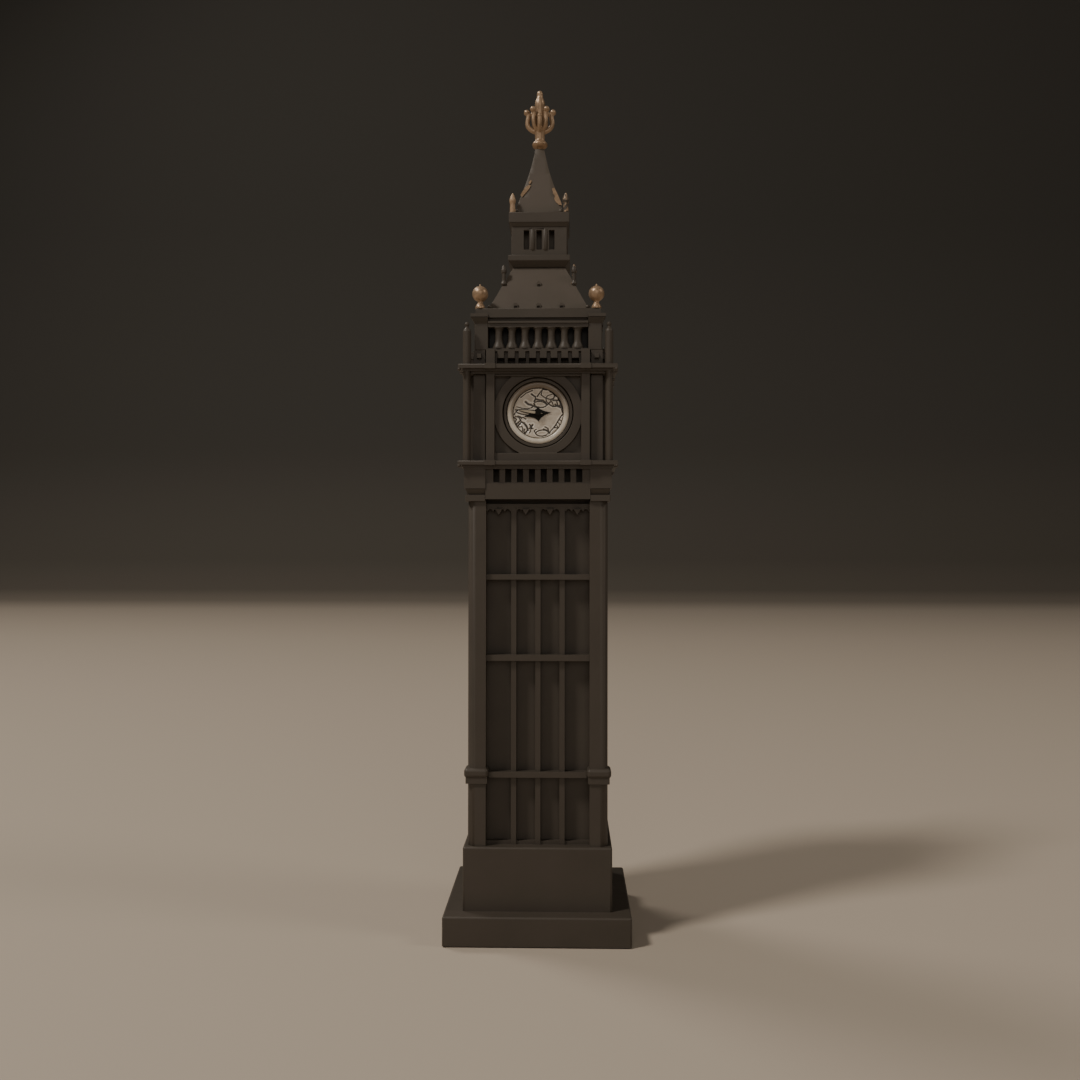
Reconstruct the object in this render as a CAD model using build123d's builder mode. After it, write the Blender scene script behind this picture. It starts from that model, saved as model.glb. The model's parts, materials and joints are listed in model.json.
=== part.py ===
"""A miniature clock tower, 300 mm tall: hollow castings stacked on one tie rod, with gilded finials.

The front dial is a small quartz clock insert. It pulls out of its bore, and its two hands turn through
a motion work of four toothed wheels. The other three dials are fixed castings with no hands of their own.
Millimetres, +Z up, front towards -Y, origin at the centre of the base where it stands.
"""
from build123d import *
import math
import os

os.makedirs("parts", exist_ok=True)

# ---- driving dimensions -------------------------------------------------------------------------
TOWER_HEIGHT = 300.0
SLAB_HALF = 31.7
BLOCK_HALF = 25.35
CORE_HALF, CORE_BORE_HALF = 18.4, 14.5
PIER_INNER, PIER_OUTER = 17.7, 23.9
TIE_ROD_RADIUS = 2.0
ROD_HOLE_RADIUS = 2.15

# Levels of the stack, from the ground up.
SLAB_BOTTOM, SLAB_TOP = 0.4, 10.2
BLOCK_TOP = 31.85
PIER_TOP = 149.3
FASCIA_BOTTOM = 150.0
CORNER_BLOCK_BOTTOM = 153.6
SLOT_STRIP_BOTTOM = 155.4
LOWER_LEDGE_BOTTOM, LOWER_LEDGE_LIP, LOWER_LEDGE_TOP = 160.3, 161.6, 163.05
UPPER_LEDGE_BOTTOM, UPPER_LEDGE_LIP, UPPER_LEDGE_TOP = 193.0, 194.5, 196.0
GALLERY_FLOOR = 201.4
CORNICE_BOTTOM, CORNICE_TOP = 212.8, 216.0
ROOF_TOP = 232.9
LANTERN_FLOOR, LANTERN_CEILING = 237.3, 247.5
LANTERN_TOP = 252.6
SPIRE_TOP = 278.2

# The clock stage, and the clock insert in it.
CLOCK_Z = 179.8
CASE_FACE = 20.4
CASE_CORNER_HALF = 22.2
FRAME_HALF = 18.2
PILASTER_INNER, PILASTER_OUTER = 14.8, 17.8
SURROUND_BORE = 12.2
INSERT_BORE = 9.5
BEZEL_RADIUS, DIAL_RADIUS = 10.7, 8.8
POST_OFFSET = 24.3

FACES = {"front": 0, "right": 90, "back": 180, "left": 270}
CORNERS = {"front_left": (-1, -1), "front_right": (1, -1), "back_left": (-1, 1), "back_right": (1, 1)}


def face_plane(turn, distance):
    """The plane of one side of the tower at that distance from its axis: x to the right, y up."""
    a = math.radians(turn)
    out = Vector(math.sin(a), -math.cos(a), 0)
    return Plane(origin=out * distance, x_dir=(math.cos(a), math.sin(a), 0), z_dir=out)


def span(low, high):
    """Centre and length of a stretch from low to high."""
    return (low + high) / 2, high - low


def square_block(half, low, high, mode=Mode.ADD):
    """A square prism about the tower's axis."""
    with BuildSketch(Plane.XY.offset(low)) as plan:
        Rectangle(2 * half, 2 * half)
    extrude(plan.sketch, amount=high - low, mode=mode)


def square_flare(half_low, half_high, low, high, mode=Mode.ADD):
    """A prism about the tower's axis whose half width changes from half_low to half_high."""
    with BuildSketch(Plane.XY.offset(low)) as foot:
        Rectangle(2 * half_low, 2 * half_low)
    with BuildSketch(Plane.XY.offset(high)) as head:
        Rectangle(2 * half_high, 2 * half_high)
    loft([foot.sketch, head.sketch], mode=mode)


def corner_block(sx, sy, inner, outer, low, high, mode=Mode.ADD):
    """A prism that fills the corner square from inner to outer, in the quadrant of sx and sy."""
    middle, width = span(inner, outer)
    with BuildSketch(Plane.XY.offset(low)) as plan:
        with Locations((sx * middle, sy * middle)):
            Rectangle(width, width)
    extrude(plan.sketch, amount=high - low, mode=mode)


def corner_flare(sx, sy, inner, outer_low, outer_high, low, high):
    """A corner prism whose outer faces lean from outer_low to outer_high."""
    sections = []
    for level, outer in ((low, outer_low), (high, outer_high)):
        middle, width = span(inner, outer)
        with BuildSketch(Plane.XY.offset(level)) as plan:
            with Locations((sx * middle, sy * middle)):
                Rectangle(width, width)
        sections.append(plan.sketch)
    loft(sections)


def bar(left, right, low, high, mode=Mode.ADD):
    """A rectangle on a face plane, given by its edges."""
    (x, width), (z, height) = span(left, right), span(low, high)
    with Locations((x, z)):
        Rectangle(width, height, mode=mode)


def round_hole(x, y, radius, low, high):
    """A vertical hole from level low to level high."""
    with BuildSketch(Plane.XY.offset(low)) as plan:
        with Locations((x, y)):
            Circle(radius)
    extrude(plan.sketch, amount=high - low, mode=Mode.SUBTRACT)


def turned(x, y, outline, smooth=False):
    """A turned piece about the upright line through x, y. outline lists (radius, level), axis to axis."""
    points = [(x + r, z) for r, z in outline]
    with BuildSketch(Plane.XZ.offset(-y)) as half:
        with BuildLine():
            if smooth:
                Polyline(points[-1], points[0], points[1])
                Spline(*points[1:])
            else:
                Polyline(*points, close=True)
        make_face()
    revolve(half.sketch, axis=Axis((x, y, 0), (0, 0, 1)))


def keep(builder, name):
    """Labels a finished piece and writes its file."""
    builder.part.label = name
    export_step(builder.part, f"parts/{name}.step")


# ---- base ---------------------------------------------------------------------------------------
PAD_HALF, PAD_TOP = 29.0, 1.5
EDGE_ROUND = 0.72
BASE_SHELL = 4.0
NUT_POCKET_RADIUS, NUT_POCKET_TOP = 5.0, 5.5
NUT_BOSS_RADIUS = 8.0
WASHER_RADIUS, WASHER_THICK = 4.5, 0.8
NUT_ACROSS_FLATS = 7.0

with BuildPart() as baize_pad:
    with BuildSketch():
        RectangleRounded(2 * PAD_HALF, 2 * PAD_HALF, 1.5)
    extrude(amount=PAD_TOP)
keep(baize_pad, "baize_pad")

with BuildPart() as base_slab:
    square_block(SLAB_HALF, SLAB_BOTTOM, SLAB_TOP)
    fillet(base_slab.edges().filter_by(Axis.Z) + base_slab.edges().group_by(Axis.Z)[-1], EDGE_ROUND)
    with BuildSketch(Plane.XY.offset(SLAB_BOTTOM)):
        RectangleRounded(2 * PAD_HALF + 0.2, 2 * PAD_HALF + 0.2, 1.6)
    extrude(amount=PAD_TOP - SLAB_BOTTOM, mode=Mode.SUBTRACT)
    with BuildSketch(Plane.XY.offset(PAD_TOP)):
        Rectangle(2 * (PAD_HALF - BASE_SHELL), 2 * (PAD_HALF - BASE_SHELL))
        Circle(NUT_BOSS_RADIUS, mode=Mode.SUBTRACT)
    extrude(amount=SLAB_TOP - BASE_SHELL - PAD_TOP, mode=Mode.SUBTRACT)
    round_hole(0, 0, NUT_POCKET_RADIUS, PAD_TOP, NUT_POCKET_TOP)
    round_hole(0, 0, ROD_HOLE_RADIUS, 0, SLAB_TOP)
keep(base_slab, "base_slab")

with BuildPart() as base_block:
    square_block(BLOCK_HALF, SLAB_TOP, BLOCK_TOP)
    fillet(base_block.edges().filter_by(Axis.Z) + base_block.edges().group_by(Axis.Z)[-1], EDGE_ROUND)
    square_block(CORE_BORE_HALF, SLAB_TOP, BLOCK_TOP - BASE_SHELL, mode=Mode.SUBTRACT)
    round_hole(0, 0, ROD_HOLE_RADIUS, SLAB_TOP, BLOCK_TOP)
keep(base_block, "base_block")

with BuildPart() as tie_washer:
    with BuildSketch(Plane.XY.offset(NUT_POCKET_TOP - WASHER_THICK)):
        Circle(WASHER_RADIUS)
        Circle(ROD_HOLE_RADIUS, mode=Mode.SUBTRACT)
    extrude(amount=WASHER_THICK)
keep(tie_washer, "tie_washer")

with BuildPart() as tie_nut:
    with BuildSketch(Plane.XY.offset(PAD_TOP)):
        RegularPolygon(NUT_ACROSS_FLATS / 2, 6, major_radius=False)
        Circle(TIE_ROD_RADIUS, mode=Mode.SUBTRACT)
    extrude(amount=NUT_POCKET_TOP - WASHER_THICK - PAD_TOP)
keep(tie_nut, "tie_nut")

ROD_TOP = 262.0
with BuildPart() as tie_rod:
    with BuildSketch(Plane.XY.offset(PAD_TOP)):
        Circle(TIE_ROD_RADIUS)
    extrude(amount=ROD_TOP - PAD_TOP)
    chamfer(tie_rod.edges().filter_by(GeomType.CIRCLE), 0.4)
keep(tie_rod, "tie_rod")

# ---- shaft --------------------------------------------------------------------------------------
PIER_ROUND = 2.6
COLLAR_OUTER, COLLAR_INNER = 25.05, 16.75
COLLAR_TOP, COLLAR_STEP, COLLAR_BOTTOM, COLLAR_ROUND = 58.3, 55.0, 53.1, 1.2
NECKING_INNER, NECKING_OUTER = 17.2, 24.5
MULLION_PITCH, MULLION_WIDTH, MULLION_FACE = 8.3, 1.8, 21.3
TRANSOM_FACE = 22.6
TRANSOMS = [(54.9, 56.8), (94.7, 96.8), (122.5, 124.3)]
SILL_TOP = 33.0
BEAM_BOTTOM, BEAM_TOP, BEAM_FACE = 147.2, 148.5, 21.2
CUSP_BOTTOM, CUSP_FACE, CUSP_ARCH = 146.0, 21.0, 0.75
PENDANT_HALF, PENDANT_BOTTOM, PENDANT_TOP, PENDANT_FACE = 1.25, 144.7, 146.7, 22.4

with BuildPart() as shaft_core:
    square_block(CORE_HALF, BLOCK_TOP, LOWER_LEDGE_BOTTOM)
    square_block(CORE_BORE_HALF, BLOCK_TOP, LOWER_LEDGE_BOTTOM, mode=Mode.SUBTRACT)
keep(shaft_core, "shaft_core")

for corner, (sx, sy) in CORNERS.items():
    with BuildPart() as collar:
        corner_block(sx, sy, COLLAR_INNER, COLLAR_OUTER, COLLAR_STEP, COLLAR_TOP)
        fillet(collar.edges(), COLLAR_ROUND)
        corner_block(sx, sy, NECKING_INNER, NECKING_OUTER, COLLAR_BOTTOM, COLLAR_STEP + COLLAR_ROUND)
    with BuildPart() as corner_pier:
        corner_block(sx, sy, PIER_INNER, PIER_OUTER, BLOCK_TOP, PIER_TOP)
        outer_edge = corner_pier.edges().filter_by(Axis.Z).sort_by_distance((sx * 99, sy * 99, 0))[0]
        fillet(outer_edge, PIER_ROUND)
        add(collar.part)
        square_block(CORE_HALF, BLOCK_TOP, PIER_TOP, mode=Mode.SUBTRACT)
    keep(corner_pier, f"corner_pier_{corner}")

for face, turn in FACES.items():
    back = face_plane(turn, CORE_HALF)
    with BuildPart() as tracery:
        with BuildSketch(back):
            for x in (-MULLION_PITCH, 0, MULLION_PITCH):
                bar(x - MULLION_WIDTH / 2, x + MULLION_WIDTH / 2, BLOCK_TOP, BEAM_BOTTOM)
        extrude(amount=MULLION_FACE - CORE_HALF)
        for low, high in TRANSOMS:
            half = COLLAR_INNER if low == TRANSOMS[0][0] else PIER_INNER
            with BuildSketch(back):
                bar(-half, half, low, high)
            extrude(amount=TRANSOM_FACE - CORE_HALF)
        with BuildSketch(back):
            bar(-PIER_INNER, PIER_INNER, BLOCK_TOP, SILL_TOP)
        extrude(amount=MULLION_FACE - CORE_HALF - 0.6)
        with BuildSketch(back):
            bar(-PIER_INNER, PIER_INNER, BEAM_BOTTOM, BEAM_TOP)
        extrude(amount=BEAM_FACE - CORE_HALF)
        inner, outer = MULLION_WIDTH / 2, MULLION_PITCH - MULLION_WIDTH / 2
        edge = MULLION_PITCH + MULLION_WIDTH / 2
        for left, right in ((-PIER_INNER, -edge), (-outer, -inner), (inner, outer), (edge, PIER_INNER)):
            middle, width = span(left, right)
            with BuildSketch(back):
                bar(left, right, CUSP_BOTTOM, BEAM_BOTTOM)
                with Locations((middle, CUSP_BOTTOM)):
                    with GridLocations(0.235 * width, 1, 4, 1):
                        Circle(CUSP_ARCH, mode=Mode.SUBTRACT)
            extrude(amount=CUSP_FACE - CORE_HALF)
            with BuildSketch(back):
                Polygon((middle - PENDANT_HALF, PENDANT_TOP), (middle, PENDANT_BOTTOM),
                        (middle + PENDANT_HALF, PENDANT_TOP), align=None)
            extrude(amount=PENDANT_FACE - CORE_HALF)
    keep(tracery, f"tracery_{face}")

# ---- corbel stage -------------------------------------------------------------------------------
FASCIA_HALF, FASCIA_FACE = 17.9, 24.8
SLOT_FACE, SLOT_WALL = 24.4, 22.0
CORNER_FACE = 25.15
SIDE_KNOB_RADIUS, SIDE_KNOB_Y, SIDE_KNOB_Z = 0.55, 23.4, 158.9
SLOT_PITCH, SLOT_WIDTH, SLOT_BOTTOM, SLOT_TOP = 4.04, 2.1, 155.8, LOWER_LEDGE_BOTTOM
CAPITAL_FACE, CAPITAL_TOP, NECK_FACE = 24.75, 151.4, 23.8

with BuildPart() as corbel_band:
    square_block(FASCIA_FACE, CORNER_BLOCK_BOTTOM, SLOT_STRIP_BOTTOM)
    square_block(SLOT_FACE, SLOT_STRIP_BOTTOM, LOWER_LEDGE_BOTTOM)
    for sx, sy in CORNERS.values():
        corner_block(sx, sy, FASCIA_HALF, CORNER_FACE, CORNER_BLOCK_BOTTOM, LOWER_LEDGE_BOTTOM)
    for turn in FACES.values():
        with BuildSketch(face_plane(turn, CORE_HALF)):
            bar(-FASCIA_HALF, FASCIA_HALF, FASCIA_BOTTOM, CORNER_BLOCK_BOTTOM)
        extrude(amount=FASCIA_FACE - CORE_HALF)
    square_block(CORE_HALF, FASCIA_BOTTOM, SLOT_STRIP_BOTTOM, mode=Mode.SUBTRACT)
    square_block(SLOT_WALL, SLOT_STRIP_BOTTOM, LOWER_LEDGE_BOTTOM, mode=Mode.SUBTRACT)
    for turn in FACES.values():
        with BuildSketch(face_plane(turn, SLOT_WALL)):
            with Locations((0, (SLOT_BOTTOM + SLOT_TOP) / 2)):
                with GridLocations(SLOT_PITCH, 1, 8, 1):
                    Rectangle(SLOT_WIDTH, SLOT_TOP - SLOT_BOTTOM)
        extrude(amount=SLOT_FACE - SLOT_WALL, mode=Mode.SUBTRACT)
    with Locations(*[(CORNER_FACE + 0.25, y, SIDE_KNOB_Z) for y in (-SIDE_KNOB_Y, SIDE_KNOB_Y)]):
        Sphere(SIDE_KNOB_RADIUS)
keep(corbel_band, "corbel_band")

with BuildPart() as pier_capitals:
    for sx, sy in CORNERS.values():
        corner_block(sx, sy, FASCIA_HALF, CAPITAL_FACE, PIER_TOP, CAPITAL_TOP)
        corner_flare(sx, sy, FASCIA_HALF, NECK_FACE, CORNER_FACE - 0.35, CAPITAL_TOP, CORNER_BLOCK_BOTTOM)
    square_block(CORE_HALF, PIER_TOP, CORNER_BLOCK_BOTTOM, mode=Mode.SUBTRACT)
keep(pier_capitals, "pier_capitals")

# ---- ledges above and below the clock -----------------------------------------------------------
LEDGE_HALF = 27.15
DROP_RADIUS, DROP_OFFSET = 0.6, 26.7
POST_RADIUS, UPPER_POST_RADIUS = 1.3, 1.4
COLLAR_ROOT, COLLAR_PROUD, COLLAR_MARGIN = 24.3, 0.35, 0.3


def ledge(bottom_half, bed_half, bottom, lip, top):
    """A square string course: a round-nosed plate over a stepped bed mould, with a knob under each corner.
    It breaks forward a little where a pilaster meets it."""
    square_block(bottom_half, bottom, (bottom + lip) / 2)
    square_block(bed_half, (bottom + lip) / 2, lip)
    square_block(LEDGE_HALF, lip, top)
    fillet(edges().group_by(Axis.Z)[-1], 0.5)
    for sx, sy in CORNERS.values():
        with Locations((sx * DROP_OFFSET, sy * DROP_OFFSET, lip - 0.35)):
            Sphere(DROP_RADIUS)
    left, right = PILASTER_INNER - COLLAR_MARGIN, PILASTER_OUTER + COLLAR_MARGIN
    for turn in FACES.values():
        with BuildSketch(face_plane(turn, COLLAR_ROOT)) as breaks:
            bar(-right, -left, lip - 0.15, top + 0.1)
            bar(left, right, lip - 0.15, top + 0.1)
        extrude(breaks.sketch, amount=LEDGE_HALF + COLLAR_PROUD - COLLAR_ROOT)
    round_hole(0, 0, ROD_HOLE_RADIUS, bottom, top)


with BuildPart() as lower_ledge:
    ledge(25.45, 25.9, LOWER_LEDGE_BOTTOM, LOWER_LEDGE_LIP, LOWER_LEDGE_TOP)
keep(lower_ledge, "lower_ledge")

with BuildPart() as upper_ledge:
    ledge(24.2, 25.7, UPPER_LEDGE_BOTTOM, UPPER_LEDGE_LIP, UPPER_LEDGE_TOP)
    for sx, sy in CORNERS.values():
        x, y = sx * POST_OFFSET, sy * POST_OFFSET
        round_hole(x, y, POST_RADIUS + 0.05, UPPER_LEDGE_BOTTOM - 1, UPPER_LEDGE_TOP)
keep(upper_ledge, "upper_ledge")

# ---- clock stage --------------------------------------------------------------------------------
CASE_BORE_HALF = 14.9
PILASTER_FACE = 24.1
FIELD_FACE, SURROUND_FACE, BAR_FACE = 21.4, 22.9, 23.3
SURROUND_RADIUS = 15.3
BAND_INNER, BAND_OUTER, BAND_FACE, GROOVE_FLOOR = 10.9, 11.9, 22.2, 21.2
PANEL_BOTTOM, PANEL_TOP = 165.9, 192.2

with BuildPart() as clock_case:
    square_block(CASE_FACE, LOWER_LEDGE_TOP, UPPER_LEDGE_BOTTOM)
    for sx, sy in CORNERS.values():
        corner_block(sx, sy, FRAME_HALF, CASE_CORNER_HALF, LOWER_LEDGE_TOP, UPPER_LEDGE_BOTTOM)
    square_block(CASE_BORE_HALF, LOWER_LEDGE_TOP, UPPER_LEDGE_BOTTOM, mode=Mode.SUBTRACT)
    with BuildSketch(face_plane(0, CASE_BORE_HALF)):
        with Locations((0, CLOCK_Z)):
            Circle(INSERT_BORE)
    extrude(amount=CASE_FACE - CASE_BORE_HALF, mode=Mode.SUBTRACT)
keep(clock_case, "clock_case")

for face, turn in FACES.items():
    wall = face_plane(turn, CASE_FACE)
    with BuildPart() as clock_frame:
        with BuildSketch(wall):
            bar(-FRAME_HALF, FRAME_HALF, LOWER_LEDGE_TOP, UPPER_LEDGE_BOTTOM)
        extrude(amount=FIELD_FACE - CASE_FACE)
        with BuildSketch(wall):
            bar(-PILASTER_OUTER, -PILASTER_INNER, LOWER_LEDGE_TOP, UPPER_LEDGE_BOTTOM)
            bar(PILASTER_INNER, PILASTER_OUTER, LOWER_LEDGE_TOP, UPPER_LEDGE_BOTTOM)
        extrude(amount=PILASTER_FACE - CASE_FACE)
        with BuildSketch(wall):
            bar(-PILASTER_INNER, PILASTER_INNER, LOWER_LEDGE_TOP, PANEL_BOTTOM)
            bar(-PILASTER_INNER, PILASTER_INNER, PANEL_TOP, UPPER_LEDGE_BOTTOM)
        extrude(amount=BAR_FACE - CASE_FACE)
        with BuildSketch(wall):
            with Locations((0, CLOCK_Z)):
                Circle(SURROUND_RADIUS)
            bar(-PILASTER_INNER, PILASTER_INNER, PANEL_BOTTOM, PANEL_TOP, mode=Mode.INTERSECT)
        extrude(amount=SURROUND_FACE - CASE_FACE)
        with BuildSketch(wall):
            with Locations((0, CLOCK_Z)):
                Circle(SURROUND_BORE)
        extrude(amount=SURROUND_FACE - CASE_FACE, mode=Mode.SUBTRACT)
        with BuildSketch(wall):
            with Locations((0, CLOCK_Z)):
                Circle(SURROUND_BORE)
                Circle(BAND_INNER, mode=Mode.SUBTRACT)
        extrude(amount=GROOVE_FLOOR - CASE_FACE)
        with BuildSketch(wall):
            with Locations((0, CLOCK_Z)):
                Circle(BAND_OUTER)
                Circle(BAND_INNER, mode=Mode.SUBTRACT)
        extrude(amount=BAND_FACE - CASE_FACE)
    keep(clock_frame, f"clock_frame_{face}")

for corner, (sx, sy) in CORNERS.items():
    with BuildPart() as corner_post:
        turned(sx * POST_OFFSET, sy * POST_OFFSET, [
            (0, LOWER_LEDGE_TOP), (POST_RADIUS, LOWER_LEDGE_TOP), (POST_RADIUS, UPPER_LEDGE_TOP),
            (UPPER_POST_RADIUS, UPPER_LEDGE_TOP), (UPPER_POST_RADIUS, 207.4), (1.15, 208.1), (0.55, 208.7),
            (0.5, 209.1), (0.78, 209.6), (0.78, 210.1), (0.45, 210.55), (0, 210.7)])
        if sx > 0:
            with Locations((POST_OFFSET + POST_RADIUS + 0.3, sy * POST_OFFSET, 190.9)):
                Sphere(SIDE_KNOB_RADIUS)
    keep(corner_post, f"corner_post_{corner}")

# ---- belfry gallery -----------------------------------------------------------------------------
GALLERY_WALL, GALLERY_BORE = 19.5, 15.0
PEDESTAL_FACE, DENTIL_FACE, ARCADE_FACE = 24.0, 23.1, 22.0
DENTIL_PITCH, DENTIL_WIDTH, DENTIL_BOTTOM, DENTIL_TOP = 3.66, 2.3, 198.5, 200.8
ARCADE_WIDTH, ARCADE_BOTTOM, ARCADE_TOP = 2.5, 196.3, 198.5
BOSS_SIDE, BOSS_X, BOSS_Z, BOSS_FACE = 1.5, 20.2, 199.2, 23.7
BELFRY_INNER, BELFRY_OUTER, BELFRY_CAP = 17.25, 21.9, 23.2
BELFRY_SHAFT_TOP = 210.6
BALUSTER_PITCH, BALUSTER_OFFSET = 4.53, 20.6
RAIL_TOP, RAIL_STEP, RAIL_BOTTOM, PLINTH_TOP = 211.5, 210.7, 209.4, 202.0
BALUSTRADE_RAILS = [
    (GALLERY_FLOOR, PLINTH_TOP, 3.4),
    (RAIL_BOTTOM, RAIL_STEP, 3.0),
    (RAIL_STEP, RAIL_TOP, 3.5),
]

with BuildPart() as dentil_course:
    square_block(GALLERY_WALL, UPPER_LEDGE_TOP, GALLERY_FLOOR)
    for sx, sy in CORNERS.values():
        corner_block(sx, sy, FRAME_HALF, CASE_CORNER_HALF, UPPER_LEDGE_TOP, GALLERY_FLOOR)
    for turn in FACES.values():
        wall = face_plane(turn, GALLERY_BORE)
        with BuildSketch(wall):
            bar(-PILASTER_OUTER, -PILASTER_INNER, UPPER_LEDGE_TOP, GALLERY_FLOOR)
            bar(PILASTER_INNER, PILASTER_OUTER, UPPER_LEDGE_TOP, GALLERY_FLOOR)
        extrude(amount=PEDESTAL_FACE - GALLERY_BORE)
        with BuildSketch(wall):
            bar(-PILASTER_INNER, PILASTER_INNER, UPPER_LEDGE_TOP, GALLERY_FLOOR)
            with Locations((0, (ARCADE_TOP + ARCADE_BOTTOM) / 2)):
                with GridLocations(DENTIL_PITCH, 1, 8, 1):
                    Rectangle(ARCADE_WIDTH, ARCADE_TOP - ARCADE_BOTTOM, mode=Mode.SUBTRACT)
        extrude(amount=ARCADE_FACE - GALLERY_BORE)
        with BuildSketch(wall):
            bar(-PILASTER_INNER, PILASTER_INNER, DENTIL_TOP, GALLERY_FLOOR)
            with Locations((0, (DENTIL_BOTTOM + DENTIL_TOP) / 2)):
                with GridLocations(DENTIL_PITCH, 1, 8, 1):
                    Rectangle(DENTIL_WIDTH, DENTIL_TOP - DENTIL_BOTTOM)
        extrude(amount=DENTIL_FACE - GALLERY_BORE)
        with BuildSketch(wall):
            with Locations((-BOSS_X, BOSS_Z), (BOSS_X, BOSS_Z)):
                Rectangle(BOSS_SIDE, BOSS_SIDE)
        extrude(amount=BOSS_FACE - GALLERY_BORE)
    square_block(GALLERY_BORE, UPPER_LEDGE_TOP, GALLERY_FLOOR, mode=Mode.SUBTRACT)
keep(dentil_course, "dentil_course")

with BuildPart() as belfry_core:
    square_block(GALLERY_BORE - 0.1, UPPER_LEDGE_TOP, GALLERY_FLOOR)
    square_block(BELFRY_INNER - 0.15, GALLERY_FLOOR, CORNICE_BOTTOM)
    square_block(GALLERY_BORE - 2.5, UPPER_LEDGE_TOP, CORNICE_BOTTOM, mode=Mode.SUBTRACT)
keep(belfry_core, "belfry_core")

BALUSTER = [
    (0, PLINTH_TOP), (2.15, PLINTH_TOP), (2.1, 202.6), (1.75, 203.4), (1.4, 204.2), (1.25, 205.2),
    (1.2, 206.5), (1.25, 208.0), (1.45, 208.7), (1.85, 209.2), (1.85, RAIL_BOTTOM), (0, RAIL_BOTTOM),
]
for face, turn in FACES.items():
    wall = face_plane(turn, BALUSTER_OFFSET - 1.6)
    with BuildPart() as balustrade:
        for low, high, depth in BALUSTRADE_RAILS:
            with BuildSketch(wall):
                bar(-BELFRY_INNER, BELFRY_INNER, low, high)
            extrude(amount=depth)
        for i in range(-3, 4):
            x, y = i * BALUSTER_PITCH, -BALUSTER_OFFSET
            spot = Vector(x, y, 0).rotate(Axis.Z, turn)
            turned(spot.X, spot.Y, BALUSTER)
    keep(balustrade, f"balustrade_{face}")

with BuildPart() as belfry_piers:
    for sx, sy in CORNERS.values():
        corner_block(sx, sy, BELFRY_INNER, BELFRY_OUTER, GALLERY_FLOOR, BELFRY_SHAFT_TOP)
        corner_flare(sx, sy, BELFRY_INNER, BELFRY_OUTER, BELFRY_CAP - 0.15, BELFRY_SHAFT_TOP, CORNICE_BOTTOM)
keep(belfry_piers, "belfry_piers")

# ---- roof ---------------------------------------------------------------------------------------
CORNICE_HALF, EAR_TOP = 21.55, 213.9
BED_HALF, BED_INNER, BED_FACE, BED_BOTTOM = 17.15, 17.3, 20.5, 212.1
ROOF_FOOT_HALF, ROOF_HEAD_HALF = 17.75, 9.3
FINIAL_OFFSET, FINIAL_BALL_Z, FINIAL_BALL = 20.1, 221.2, 2.75
PIN_RADIUS, PIN_DEPTH = 0.8, 2.0
LUCARNE_ROWS = [(217.7, (-8.0, 0.0, 8.0)), (226.2, (0.0,))]
LUCARNE_WIDTH, LUCARNE_HEIGHT, LUCARNE_PROUD = 1.5, 0.8, 0.5
PINNACLE_OFFSET = 12.35


def roof_half(z):
    """Half width of the lower roof at level z."""
    share = (z - CORNICE_TOP) / (ROOF_TOP - CORNICE_TOP)
    return ROOF_FOOT_HALF + share * (ROOF_HEAD_HALF - ROOF_FOOT_HALF)


with BuildPart() as roof_cornice:
    square_block(CORNICE_HALF, CORNICE_BOTTOM, CORNICE_TOP)
    fillet(roof_cornice.edges().group_by(Axis.Z)[-1], 0.3)
    for sx, sy in CORNERS.values():
        corner_block(sx, sy, BELFRY_INNER, BELFRY_CAP, CORNICE_BOTTOM, EAR_TOP)
    for turn in FACES.values():
        with BuildSketch(face_plane(turn, BED_INNER)) as bed:
            bar(-BED_HALF, BED_HALF, BED_BOTTOM, CORNICE_BOTTOM)
        extrude(bed.sketch, amount=BED_FACE - BED_INNER)
    round_hole(0, 0, ROD_HOLE_RADIUS, CORNICE_BOTTOM, CORNICE_TOP)
    for sx, sy in CORNERS.values():
        x, y = sx * FINIAL_OFFSET, sy * FINIAL_OFFSET
        round_hole(x, y, PIN_RADIUS + 0.05, CORNICE_TOP - PIN_DEPTH - 0.2, CORNICE_TOP)
keep(roof_cornice, "roof_cornice")

with BuildPart() as ball_finials:
    for sx, sy in CORNERS.values():
        x, y = sx * FINIAL_OFFSET, sy * FINIAL_OFFSET
        turned(x, y, [
            (0, CORNICE_TOP - PIN_DEPTH), (PIN_RADIUS, CORNICE_TOP - PIN_DEPTH), (PIN_RADIUS, CORNICE_TOP),
            (1.75, CORNICE_TOP), (1.7, 216.7), (1.35, 217.4), (0.95, 218.0), (0.95, 219.2), (0, 219.2)])
        with Locations((x, y, FINIAL_BALL_Z)):
            Sphere(FINIAL_BALL)
        turned(x, y, [(0, 223.5), (0.42, 223.5), (0.32, 224.4), (0, 224.8)])
keep(ball_finials, "ball_finials")

with BuildPart() as lower_roof:
    square_flare(ROOF_FOOT_HALF, ROOF_HEAD_HALF, CORNICE_TOP, ROOF_TOP)
    for turn in FACES.values():
        for z, row in LUCARNE_ROWS:
            outside = roof_half(z) + LUCARNE_PROUD
            with BuildSketch(face_plane(turn, outside)):
                with Locations(*[(x, z) for x in row]):
                    Rectangle(LUCARNE_WIDTH, LUCARNE_HEIGHT)
                with Locations(*[(x, z + LUCARNE_HEIGHT / 2) for x in row]):
                    Circle(LUCARNE_WIDTH / 2)
            extrude(amount=-3.0)
            with BuildSketch(face_plane(turn, outside)):
                with Locations(*[(x, z - 0.35) for x in row]):
                    Rectangle(LUCARNE_WIDTH - 0.5, LUCARNE_HEIGHT)
            extrude(amount=-0.8, mode=Mode.SUBTRACT)
    for sx, sy in CORNERS.values():
        with Locations((sx * roof_half(217.3), sy * roof_half(217.3), 217.3)):
            Sphere(0.75)
    square_block(7.0, CORNICE_TOP, 226.0, mode=Mode.SUBTRACT)
    round_hole(0, 0, ROD_HOLE_RADIUS, CORNICE_TOP, ROOF_TOP)
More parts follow.
